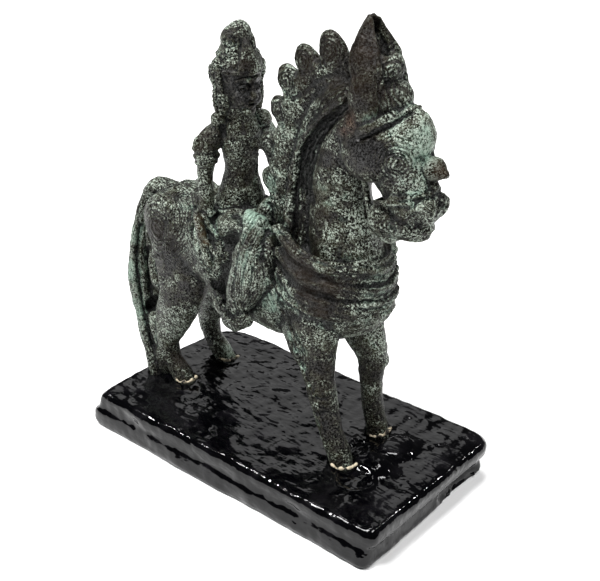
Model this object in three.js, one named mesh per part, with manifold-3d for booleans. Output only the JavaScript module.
// A small cast bronze of a rider on a caparisoned horse, standing on a painted block.
// Millimetres, +Z up, the horse faces +X. The origin lies on the block's underside, straight
// below the middle of its top.
import * as THREE from "three";
import { mergeVertices } from "three/addons/utils/BufferGeometryUtils.js";
import Module from "manifold-3d";

const wasm = await Module();
wasm.setup();

// Driving dimensions. The figure's pose and carving are drawn as shares of its own height.
const figureHeight = 116; // hoof soles to ear tips
const figureTurn = -2.4; // degrees, the horse stands slightly askew on its block
const figureShift = 1.4; // the horse stands this far to the left of the block's middle
const hoofSink = 1.2; // depth of the hooves in the block's top
const hoofGap = 0.3; // clearance between a hoof and its socket
const baseLength = 101;
const baseWidth = 56;
const baseHeight = 11;
const nearCorner = 2.5; // rounding of the two corners on the horse's right
const frontCorner = 4; // rounding of the left corner before the horse
const backCorner = 10; // rounding of the left corner behind the horse
const edgeRounding = 1.4; // along the block's top edge
const underRounding = 0.7; // along the block's bottom edge
const grooveHeight = 5.7; // seam round the block's side, above the underside
const grooveDepth = 0.7;
const lowerBack = 1.5; // the half below the seam sits this far back
const lowerRight = 0.9; // and this far to the horse's right
const rippleDepth = 0.3; // waviness of the block's sides
const rippleLength = 30;
const chipWidth = 28; // flaw in the lower half of the block's front end
const chipDepth = 4.6;
const lumpHeight = 1.7; // of the paint heaped up before the front hooves

// The figure below is drawn in millimetres at a height of 116.
const poseScale = figureHeight / 116;
const soleLevel = -hoofSink / poseScale;
const socketLevel = -(hoofSink + hoofGap) / poseScale;

const SIDEWAYS = new THREE.Vector3(0, 1, 0);
const UPWARD = new THREE.Vector3(0, 0, 1);
const FORWARD = new THREE.Vector3(1, 0, 0);

// A closed geometry as a solid that can be joined and cut.
function solidOf(geometry) {
  const bare = geometry.clone();
  bare.deleteAttribute("normal");
  bare.deleteAttribute("uv");
  const merged = mergeVertices(bare, 1e-4);
  return new wasm.Manifold(
    new wasm.Mesh({
      numProp: 3,
      vertProperties: new Float32Array(merged.attributes.position.array),
      triVerts: new Uint32Array(merged.index.array),
    }),
  );
}

function geometryOf(solid) {
  const mesh = solid.getMesh();
  const geometry = new THREE.BufferGeometry();
  geometry.setAttribute("position", new THREE.BufferAttribute(mesh.vertProperties, 3));
  geometry.setIndex(new THREE.BufferAttribute(mesh.triVerts, 1));
  geometry.computeVertexNormals();
  return geometry;
}

function join(solids) {
  return solids.reduce((whole, solid) => whole.add(solid));
}

// The solid and its mirror image across the horse's middle plane.
function both(solid) {
  const image = geometryOf(solid).scale(1, -1, 1);
  image.index.array.reverse();
  return solid.add(solidOf(image));
}

// A closed skin over rings of points, all with the same count, with a point at either end.
function skin(rings, start, end) {
  const sides = rings[0].length;
  const points = [...rings.flat(), start, end];
  const startPole = points.length - 2;
  const endPole = points.length - 1;
  const lastRow = (rings.length - 1) * sides;
  const faces = [];
  for (let i = 0; i < rings.length - 1; i++)
    for (let j = 0; j < sides; j++) {
      const a = i * sides + j;
      const b = i * sides + ((j + 1) % sides);
      faces.push(a, b, a + sides, b, b + sides, a + sides);
    }
  for (let j = 0; j < sides; j++) {
    const next = (j + 1) % sides;
    faces.push(startPole, next, j);
    faces.push(endPole, lastRow + j, lastRow + next);
  }
  const geometry = new THREE.BufferGeometry().setFromPoints(points);
  geometry.setIndex(faces);
  return solidOf(geometry);
}

// A round-ended body through stations [x, y, z, half width, half depth]. The half width lies
// along the direction "across", and the half depth at right angles to it and to the path.
// Every second edge is sunk by the share "flute", which makes the body a bundle of strands.
function loft(stations, options = {}) {
  const { sides = 12, steps = 2 * (stations.length - 1) } = options;
  const { across = SIDEWAYS, round = 0.8, flute = 0 } = options;
  const path = new THREE.CatmullRomCurve3(stations.map(([x, y, z]) => new THREE.Vector3(x, y, z)));
  const girth = new THREE.CatmullRomCurve3(stations.map(([, , , a, b]) => new THREE.Vector3(a, b ?? a, 0)));
  const sections = [];
  for (let i = 0; i <= steps; i++) {
    const t = i / steps;
    const tangent = path.getTangent(t);
    const side = across.clone().addScaledVector(tangent, -across.dot(tangent)).normalize();
    const front = new THREE.Vector3().crossVectors(tangent, side);
    sections.push({ at: path.getPoint(t), tangent, side, front, size: girth.getPoint(t) });
  }
  const capped = [cap(sections[0], -1, round), ...sections, cap(sections[steps], 1, round)];
  const rings = capped.map(({ at, side, front, size }) =>
    Array.from({ length: sides }, (_, j) => {
      const angle = (2 * Math.PI * j) / sides;
      const depth = size.y * (j % 2 ? 1 : 1 - flute);
      return at
        .clone()
        .addScaledVector(side, size.x * Math.cos(angle))
        .addScaledVector(front, depth * Math.sin(angle));
    }),
  );
  return skin(rings, tip(sections[0], -1, round), tip(sections[steps], 1, round));
}

function cap(section, way, round) {
  const reach = 0.6 * round * Math.min(section.size.x, section.size.y);
  return {
    ...section,
    at: section.at.clone().addScaledVector(section.tangent, way * reach),
    size: section.size.clone().multiplyScalar(0.72),
  };
}

function tip(section, way, round) {
  const reach = round * Math.min(section.size.x, section.size.y);
  return section.at.clone().addScaledVector(section.tangent, way * reach);
}

// A thread of one thickness through points [x, y, z].
function thread(points, radius, options = {}) {
  return loft(points.map((point) => [...point, radius, radius]), { sides: 6, ...options });
}

// A thread bent into a closed loop.
function loop(points, radius, { sides = 6, steps = 4 * points.length, up = UPWARD } = {}) {
  const path = new THREE.CatmullRomCurve3(points.map((p) => new THREE.Vector3(...p)), true);
  const spots = [];
  for (let i = 0; i < steps; i++) {
    const at = path.getPoint(i / steps);
    const tangent = path.getTangent(i / steps);
    const side = new THREE.Vector3().crossVectors(up, tangent).normalize();
    const lift = new THREE.Vector3().crossVectors(tangent, side);
    for (let j = 0; j < sides; j++) {
      const angle = (2 * Math.PI * j) / sides;
      const spot = at.clone().addScaledVector(side, radius * Math.cos(angle));
      spots.push(spot.addScaledVector(lift, radius * Math.sin(angle)));
    }
  }
  const faces = [];
  for (let i = 0; i < steps; i++)
    for (let j = 0; j < sides; j++) {
      const a = i * sides + j;
      const b = i * sides + ((j + 1) % sides);
      const c = ((i + 1) % steps) * sides + j;
      const d = ((i + 1) % steps) * sides + ((j + 1) % sides);
      faces.push(a, b, c, b, d, c);
    }
  const geometry = new THREE.BufferGeometry().setFromPoints(spots);
  geometry.setIndex(faces);
  return solidOf(geometry);
}

// A ring lying in the plane across "axis".
function ring([x, y, z], radius, thickness, axis = SIDEWAYS, around = 10) {
  const torus = new THREE.TorusGeometry(radius, thickness, 4, around);
  torus.applyQuaternion(new THREE.Quaternion().setFromUnitVectors(UPWARD, axis.clone().normalize()));
  torus.translate(x, y, z);
  return solidOf(torus);
}

function ball([x, y, z], [rx, ry = rx, rz = rx], { yaw = 0, pitch = 0, around = 8, rows = 5 } = {}) {
  const sphere = new THREE.SphereGeometry(1, around, rows);
  sphere.rotateX(Math.PI / 2);
  sphere.scale(rx, ry, rz);
  sphere.rotateY(THREE.MathUtils.degToRad(pitch));
  sphere.rotateZ(THREE.MathUtils.degToRad(yaw));
  sphere.translate(x, y, z);
  return solidOf(sphere);
}

// A low round bead that goes round a limb or the brim of a cap.
function bead(at, radius, height, around = 8) {
  return ball(at, [radius, radius, height], { around, rows: 3 });
}

// The horse's body, neck and head.
function horseBody() {
  const trunk = loft(
    [
      [-48, 0, 46, 9, 10.4],
      [-43, 0, 45.4, 11.4, 12.8],
      [-33, 0, 45.6, 12, 12],
      [-19, 0, 43.4, 12, 12.9],
      [-5, 0, 40.6, 12, 14.8],
      [9, 0, 43, 12.4, 15],
      [19.5, 0, 46, 11.6, 15.4],
      [26, 0, 49, 8.6, 12],
    ],
    { sides: 14, steps: 8, round: 0.55 },
  );
  const throat = loft(
    [
      [20, 0, 50, 9.5, 11],
      [17.5, 0, 62, 8.2, 9.5],
      [16.5, 0, 74, 6.8, 7.6],
      [19.5, 0, 86, 6.2, 7],
      [25, 0, 93, 6, 6.5],
    ],
    { sides: 11, steps: 6 },
  );
  const crest = loft(
    [
      [7, 0, 52, 7.5, 8],
      [6, 0, 64, 5.2, 6.5],
      [7.2, 0, 76, 4.3, 6],
      [10.5, 0, 87, 4.2, 6],
      [18, 0, 95.5, 4.6, 5.5],
      [26, 0, 96, 4.6, 4.5],
    ],
    { sides: 8, steps: 7 },
  );
  return join([trunk, throat, crest]);
}

function horseHead() {
  const skull = loft(
    [
      [26.5, 0, 93.5, 5.6, 6],
      [30.5, 0, 89.8, 6.6, 9.4],
      [33.5, 0, 84.5, 6.4, 9.4],
      [36.5, 0, 79, 5.4, 7.8],
      [38.6, 0, 74, 5, 6.4],
    ],
    { sides: 12, steps: 6 },
  );
  const muzzle = ball([39.4, 0, 74.6], [6.3, 5.6, 5.2], { pitch: -12 });
  const chin = ball([37.2, 0, 69.6], [7, 5.4, 4.2], { pitch: 6 });
  const mouth = both(ball([41.4, -5.6, 72.4], [3.4, 2.4, 1.2], { pitch: -10, around: 6, rows: 4 }));
  const nostril = both(ball([43.2, -2.2, 76], [2.8, 2.6, 2.8], { around: 6, rows: 4 }));
  const beard = join([
    both(ball([32, -3.6, 70.2], [4, 2.6, 4.2], { around: 7, rows: 4 })),
    ball([32, 0, 67.4], [4.2, 4.6, 4.2], { around: 7, rows: 4 }),
  ]);
  const forehead = ball([36.8, 0, 91], [5.8, 5.6, 6.4]);
  const horn = loft([[39.8, 0, 85, 3.2], [43.2, 0, 85, 2.4], [46.2, 0, 85.2, 0.7]], {
    sides: 6,
    steps: 2,
    across: UPWARD,
  });
  const wart = ball([43.6, 0, 80.6], [1.5], { around: 6, rows: 4 });
  const cheek = both(ball([26.6, -5.8, 85.2], [6.8, 2.8, 6], { around: 10 }));
  const eye = both(
    join([
      ring([35.4, -6.3, 86], 3.6, 0.7, new THREE.Vector3(0.25, -1, 0.1)),
      ball([35.4, -6, 86], [1.8], { around: 6, rows: 3 }),
    ]),
  );
  const browband = loop(
    [
      [26, -6.5, 91],
      [31, -6.6, 94.2],
      [34, -4, 96.4],
      [35, 0, 97],
      [34, 4, 96.4],
      [31, 6.6, 94.2],
      [26, 6.5, 91],
      [23, 0, 90],
    ],
    1,
    { steps: 10, sides: 4 },
  );
  const noseband = loop(
    [
      [31, -5.2, 74.8],
      [37, -5.9, 76.4],
      [42, -3.8, 77.6],
      [43.8, 0, 78],
      [42, 3.8, 77.6],
      [37, 5.9, 76.4],
      [31, 5.2, 74.8],
      [30, 0, 74],
    ],
    0.8,
    { steps: 9, sides: 4 },
  );
  const ears = both(
    loft(
      [
        [26.6, -4.4, 95, 4.4, 2.8],
        [26, -4.3, 102, 4.7, 3],
        [24.8, -3.2, 108.5, 3.8, 2.7],
        [24, -1.5, 113.4, 1.8, 1.9],
        [23.6, -0.5, 116, 0.6, 0.7],
      ],
      { across: FORWARD, sides: 7, steps: 4 },
    ),
  );
  const forelock = join([
    ball([28.6, 0, 104.6], [3.6, 4.2, 4.6]),
    ball([31, 0, 98.4], [4.4, 5, 4.8]),
    ball([30.4, 0, 105.8], [2.6, 3, 3], { around: 7, rows: 4 }),
  ]);
  const reins = both(thread([[25.8, -3.6, 80], [29.4, -3.6, 66]], 0.9, { steps: 1, sides: 4 }));
  const raised = [nostril, beard, forehead, horn, wart, cheek, eye, browband, noseband];
  return join([skull, muzzle, chin])
    .subtract(mouth)
    .add(join([...raised, ears, forelock, reins]));
}

// The clipped mane: a plate along the crest, cut into round scallops.
function mane() {
  const plate = loft(
    [
      [17.5, 0, 101, 2.2, 4.4],
      [9, 0, 98.6, 2.4, 5],
      [2.4, 0, 91.6, 2.5, 5.2],
      [0, 0, 83, 2.6, 5.2],
      [-2.4, 0, 75, 2.6, 5.4],
      [-2.6, 0, 66, 2.8, 5.4],
      [-0.5, 0, 58, 3, 6],
    ],
    { sides: 6, steps: 8 },
  );
  const scallops = [
    [[15.5, 101], [11.6, 108]],
    [[8.2, 98], [3.4, 103.6]],
    [[3.4, 92], [-2.2, 97.4]],
    [[0.6, 85.6], [-5, 88.8]],
    [[-1.8, 77], [-8.6, 78.2]],
    [[-2.4, 68.4], [-8.2, 69]],
    [[-1.4, 60.6], [-6.4, 61.2]],
  ].map(([[x0, z0], [x1, z1]], i) => {
    const size = i === 0 ? 4.2 : 3.7;
    return loft([[x0, 0, z0, 2.1, size], [x1, 0, z1, 2, size * 0.85]], { sides: 8, steps: 1 });
  });
  const border = both(
    thread(
      [
        [20, -4.6, 97],
        [13, -4.6, 90.4],
        [8.4, -4.6, 84.4],
        [5.6, -4.8, 77.6],
        [4.6, -5.6, 67],
        [5, -7.4, 60],
      ],
      1.1,
      { steps: 7, sides: 4 },
    ),
  );
  return join([plate, ...scallops, border]);
}

// The legs and tail, drawn fatter by a margin where the block is cut to clear them.
function stance(margin = 0) {
  const fatter = ([x, y, z, a, b]) => [x, y, z, a + margin, (b ?? a) + margin];
  const leg = (stations) => loft(stations.map(fatter), { sides: 7, steps: 7, round: 0.2 });
  const nearFront = leg([
    [12, -5.6, 43, 5.6, 12.5],
    [14, -7, 34, 5.4, 10.5],
    [17, -8, 25, 4.2, 6],
    [19.4, -8.5, 16, 3.4, 4],
    [22.4, -8.8, 8, 3, 3.4],
    [25.6, -9, 1.6, 3.1, 3.3],
    [27.2, -9, socketLevel - 1, 3.1, 3.3],
  ]);
  const farFront = leg([
    [15, 5.8, 41, 5.6, 11],
    [19, 7.4, 32, 4.8, 8],
    [22, 8, 24, 4.2, 5.2],
    [22, 8.2, 16, 3.2, 3.5],
    [22.5, 8.4, 8, 2.8, 3],
    [24, 8.4, 1.6, 3, 3.1],
    [24.8, 8.4, socketLevel - 1, 3, 3.1],
  ]);
  const rear = (way, thigh) =>
    leg([
      [-38, way * 5.6, 45, 6.4, 12],
      [-37.6, way * 7, 35, 6, 0.96 * thigh],
      [-38, way * 8, 26, 5, 0.76 * thigh],
      [-40.2, way * 8.4, 18, 3.7, 0.5 * thigh],
      [-42.6, way * 8.5, 10.5, 3, 3.8],
      [-40.6, way * 8.5, 5, 2.8, 3],
      [-36.6, way * 8.5, 1, 3, 3],
      [-34.4, way * 8.5, socketLevel - 1, 3, 3],
    ]);
  const tail = loft(
    [
      [-46, 0.2, 55, 3, 2],
      [-52.8, -0.6, 54.6, 3.6, 2.3],
      [-56.8, -1.4, 46.5, 5.2, 2.5],
      [-57.6, -3.2, 36, 5.8, 3.2],
      [-56.6, -5.4, 26, 5.4, 3.4],
      [-52.4, -7.8, 15, 4.2, 3],
      [-48.4, -10, 6, 2.6, 2.3],
      [-45.6, -11.2, 1.2, 2.4, 2.1],
      [-44.4, -11.6, socketLevel - 1, 2.3, 2],
    ].map(fatter),
    { sides: 12, steps: 9, flute: 0.35, across: new THREE.Vector3(-0.35, 0.94, 0) },
  );
  const web = ball([-46.8, -9.2, 11], [4.6 + margin, 2 + margin, 7.4 + margin], { around: 6 });
  return join([nearFront, farFront, rear(-1, 11.8), rear(1, 10.4), tail, web]);
}

// The breast bands, the crupper and the boss on the haunch.
function harness() {
  const band = (drop, reach, thickness) => {
    const near = [
      [3.4 + 0.2 * drop, 9 + 0.1 * drop, 60.4 - drop],
      [10, 10.8 + 0.04 * drop, 57.4 - 0.98 * drop],
      [16.6, 11.5, 56 - 0.94 * drop],
      [22.6, 10.4, 55 - 0.86 * drop],
      [27 + reach, 6.2, 53.6 - 0.72 * drop],
      [29 + reach, 0, 52.6 - 0.68 * drop],
    ];
    const far = near.slice(0, -1).map(([x, y, z]) => [x, -y, z]);
    return thread([...far, near.at(-1), ...near.slice(0, -1).reverse()], thickness, {
      steps: 11,
      sides: 5,
    });
  };
  const haunch = both(
    join([
      ball([-41, -9.2, 48], [8.4, 2.4, 8.6], { around: 10, rows: 4 }),
      ball([-41.2, -9.8, 47.6], [5.8, 2.6, 6], { around: 8, rows: 4 }),
    ]),
  );
  const crupper = both(
    thread([[-28, -9.8, 53], [-33, -10.8, 46], [-39, -12, 39.5], [-46, -10.6, 39.5], [-51, -6, 46]], 1, {
      steps: 5,
      sides: 4,
    }),
  );
  return join([band(0, 0, 1.8), band(6.2, 1.2, 1.9), band(12.4, 0.6, 2.3), haunch, crupper]);
}

// The saddle and its cloth.
function saddle() {
  const cloth = both(
    join([
      loft(
        [
          [-17.5, -4, 56.5, 10.5, 3],
          [-15.5, -10, 51, 9.5, 2.2],
          [-14.5, -12.4, 42, 7, 1.8],
          [-13, -12, 34.6, 5, 1.8],
        ],
        { across: FORWARD, sides: 8, steps: 4, round: 0.9 },
      ),
      thread([[-27.6, -4, 58], [-24.6, -11, 53], [-21.4, -12.8, 45], [-17.4, -12.4, 36]], 1, {
        steps: 4,
        sides: 4,
      }),
      ball([-13.4, -12.6, 34.4], [3.6, 2.2, 3.6], { around: 6, rows: 3 }),
    ]),
  );
  const cantle = loft(
    [
      [-27, -7.6, 54, 1.8, 2],
      [-27.6, -4, 57.8, 2, 2.2],
      [-27.8, 0, 58.8, 2, 2.4],
      [-27.6, 4, 57.8, 2, 2.2],
      [-27, 7.6, 54, 1.8, 2],
    ],
    { across: FORWARD, sides: 5, steps: 4 },
  );
  const pommel = ball([-7.6, 0, 59], [3.4, 4.4, 4.4], { rows: 4 });
  return join([cloth, cantle, pommel]);
}

// The rider, whose chest is turned a little to the right and whose head looks straight ahead.
const riderTurn = THREE.MathUtils.degToRad(18);
const BROADSIDE = new THREE.Vector3(Math.sin(riderTurn), Math.cos(riderTurn), 0);
const FACING = new THREE.Vector3(Math.cos(riderTurn), -Math.sin(riderTurn), 0);

// A point of the rider's own frame: forward and left of the spine, at a height.
function onRider(forward, left, z) {
  return [
    -18.6 + forward * FACING.x + left * BROADSIDE.x,
    -0.6 + forward * FACING.y + left * BROADSIDE.y,
    z,
  ];
}

function onHead(forward, left, z) {
  return [-18.4 + forward, -0.6 + left, z];
}

function riderHead() {
  const face = ball(onHead(1.6, 0, 91.6), [4.7, 4.6, 6.4], { around: 10, rows: 6 });
  const nose = loft([[...onHead(6, 0, 93.4), 0.6], [...onHead(6.8, 0, 90.4), 1]], { sides: 5, steps: 1 });
  const crown = loft(
    [
      [...onHead(-0.2, 0, 93.4), 6, 6],
      [...onHead(-0.2, 0, 97.6), 6.2, 6.2],
      [...onHead(-0.8, -0.2, 102), 5.2, 5],
      [...onHead(-0.4, -0.3, 105.4), 3.8, 3.8],
    ],
    { sides: 8, steps: 4 },
  );
  const brim = bead(onHead(0.8, 0, 96.2), 6.3, 1.4, 10);
  const plate = loft([[...onHead(5.2, -0.4, 96.8), 3.2, 1.4], [...onHead(3.4, -0.4, 103), 0.6, 0.8]], {
    sides: 6,
    steps: 1,
  });
  const hair = [-1, 1].map((way) =>
    join([
      ball(onHead(-0.8, way * 5.6, 96), [2.6, 2.2, 3.6], { around: 6, rows: 4 }),
      ball(onHead(-0.2, way * 4.8, 89), [2.8, 2, 5.6], { around: 6, rows: 4 }),
    ]),
  );
  const nape = ball(onHead(-0.6, 0, 85.8), [4.4, 5, 4.6]);
  return join([face, nose, crown, brim, plate, ...hair, nape]);
}

function rider() {
  const torso = loft(
    [
      [...onRider(0, 0, 52), 8.2, 6],
      [...onRider(0.2, 0, 58), 7.5, 5.6],
      [...onRider(0.5, 0, 64), 5.8, 4.8],
      [...onRider(0.6, 0, 70), 4.6, 4.1],
      [...onRider(0.4, 0, 75), 5.2, 4.5],
      [...onRider(0, 0, 79.6), 6.2, 4.4],
      [...onRider(0, 0, 83.4), 4, 3.6],
    ],
    { across: BROADSIDE, sides: 8, steps: 6 },
  );
  const collar = bead(onRider(0.8, 0, 82.8), 5.2, 1.4);
  const shoulderBalls = [
    ball(onRider(-0.2, -6, 83), [2.1], { around: 6, rows: 4 }),
    ball(onRider(0.6, 6.4, 81.6), [2.5], { around: 6, rows: 4 }),
  ];
  const rightArm = loft(
    [
      [...onRider(-1, -5.8, 79.4), 3],
      [...onRider(-1.4, -8.4, 77.4), 3],
      [...onRider(-1.4, -9.2, 71.4), 2.5],
      [-22.6, -9.4, 65, 1.9],
      [-22.2, -9.8, 59, 1.9],
      [-21.6, -10.8, 54.6, 2.2],
    ],
    { sides: 6, steps: 5 },
  );
  const leftArm = loft(
    [
      [...onRider(-0.6, 6, 79.4), 3.1],
      [...onRider(-1.4, 9, 76), 3],
      [-15.4, 10.2, 69, 2.4],
      [-12.4, 8.4, 63, 2.1],
      [-7.4, 3.6, 61.6, 2.3],
    ],
    { sides: 6, steps: 4, across: FORWARD },
  );
  const armlets = [
    bead(onRider(-1.4, -9, 73.6), 3.4, 3),
    bead([-22.2, -9.9, 58], 2.8, 1.2),
    bead(onRider(-1.5, 9.3, 74), 3.9, 2.4),
  ];
  const knob = ball(onRider(-2, -11, 76.2), [1.7, 1.6, 2.6], { around: 6, rows: 4 });
  const leg = both(
    join([
      loft(
        [
          [-17, -6, 53.6, 5, 4.8],
          [-10, -8.6, 56.4, 4.4, 4.8],
          [-3.6, -10.4, 56.6, 4.6, 6.2],
          [-3.2, -11.8, 49, 4.2, 6.8],
          [-5.8, -12.9, 41.6, 3.6, 5.4],
          [-7.4, -13.6, 35.4, 2.8, 3.4],
        ],
        { sides: 7, steps: 6 },
      ),
      loft([[-11.6, -14.2, 35.8, 1.7], [-7.8, -14.8, 32.6, 2.8, 3], [-2, -15.2, 34.6, 1.7]], {
        sides: 6,
        steps: 2,
      }),
    ]),
  );
  const dagger = loft([[-22.2, -13.2, 58.4, 1], [-20, -13.8, 52.4, 1.3], [-17, -14.2, 45.4, 0.9]], {
    sides: 6,
    steps: 2,
  });
  return join([
    torso,
    riderHead(),
    collar,
    ...shoulderBalls,
    rightArm,
    leftArm,
    ...armlets,
    knob,
    leg,
    dagger,
  ]);
}

// The block, with a rounded and slightly uneven outline.
function slab() {
  const corners = [
    [baseLength / 2, baseWidth / 2, frontCorner],
    [-baseLength / 2, baseWidth / 2, backCorner],
    [-baseLength / 2, -baseWidth / 2, nearCorner],
    [baseLength / 2, -baseWidth / 2, nearCorner],
  ];
  const outline = [];
  corners.forEach(([x, y, radius], corner) => {
    for (let k = 0; k <= 3; k++) {
      const angle = (Math.PI / 2) * (corner + k / 3);
      outline.push([
        x - Math.sign(x) * radius + radius * Math.cos(angle),
        y - Math.sign(y) * radius + radius * Math.sin(angle),
      ]);
    }
    const [nextX, nextY, nextRadius] = corners[(corner + 1) % 4];
    const pieces = Math.abs(nextX - x) > Math.abs(nextY - y) ? 5 : 3;
    const span = Math.hypot(nextX - x, nextY - y);
    for (let k = 1; k < pieces; k++) {
      const run = (radius + ((span - radius - nextRadius) * k) / pieces) / span;
      outline.push([x + (nextX - x) * run, y + (nextY - y) * run]);
    }
  });
  // Heights, how far each is set in, and its share of the lower half's shift.
  const levels = [
    [0, underRounding, 1],
    [1.7 * underRounding, 0, 1],
    [grooveHeight - 0.9 * grooveDepth, 0.3 * grooveDepth, 1],
    [grooveHeight, grooveDepth, 0.5],
    [grooveHeight + 0.9 * grooveDepth, 0, 0],
    [baseHeight - edgeRounding, 0, 0],
    [baseHeight, edgeRounding, 0],
  ];
  const wave = (run) => rippleDepth * Math.sin((2 * Math.PI * run) / rippleLength);
  const rings = levels.map(([z, inset, share]) =>
    outline.map(([x, y]) => {
      const shrink = inset + wave(x + 2.4 * z) + 0.8 * wave(1.6 * y - 1.9 * z + 0.16 * rippleLength);
      return new THREE.Vector3(
        x - (2 * x * shrink) / baseLength - share * lowerBack,
        y - (2 * y * shrink) / baseWidth - share * lowerRight,
        z,
      );
    }),
  );
  return skin(rings, new THREE.Vector3(0, 0, 0), new THREE.Vector3(0, 0, baseHeight));
}

// The figure's place on the block.
const stand = new THREE.Matrix4()
  .makeTranslation(0, figureShift, baseHeight)
  .multiply(new THREE.Matrix4().makeRotationZ(THREE.MathUtils.degToRad(figureTurn)))
  .multiply(new THREE.Matrix4().makeScale(poseScale, poseScale, poseScale));

function onStand(solid) {
  return geometryOf(solid).applyMatrix4(stand);
}

// The solid without what lies below a level.
function cutOffBelow(solid, level) {
  const depth = 20;
  const below = new THREE.BoxGeometry(400, 400, depth);
  below.translate(0, 0, level - depth / 2);
  return solid.subtract(solidOf(below));
}

function bronze() {
  const whole = join([horseBody(), horseHead(), mane(), stance(), harness(), saddle(), rider()]);
  return onStand(cutOffBelow(whole, soleLevel));
}

function block() {
  const chipHeight = 1.1 * grooveHeight;
  const chip = ball(
    [baseLength / 2 + 0.15 * chipDepth, baseWidth / 2 - chipWidth / 2, 0.4 * chipHeight],
    [chipDepth, chipWidth / 2, 0.6 * chipHeight],
    { around: 10 },
  );
  const lump = (x, y, rx, ry) => ball([x, y, 0], [rx, ry, lumpHeight / poseScale], { rows: 4 });
  const lumps = solidOf(onStand(join([lump(33, -4, 7, 5), lump(33, 6, 6, 7)])));
  const sockets = solidOf(onStand(cutOffBelow(stance(hoofGap / poseScale), socketLevel)));
  return geometryOf(join([slab(), lumps]).subtract(chip).subtract(sockets));
}

function mesh(name, geometry, material) {
  const result = new THREE.Mesh(geometry, new THREE.MeshStandardMaterial(material));
  result.name = name;
  return result;
}

const group = new THREE.Group();
group.name = "equestrian_statuette";
group.add(mesh("horse_and_rider", bronze(), { color: 0x4a564c, roughness: 0.7, metalness: 0.6 }));
group.add(mesh("base", block(), { color: 0x0d0d10, roughness: 0.25, metalness: 0 }));
export default group;
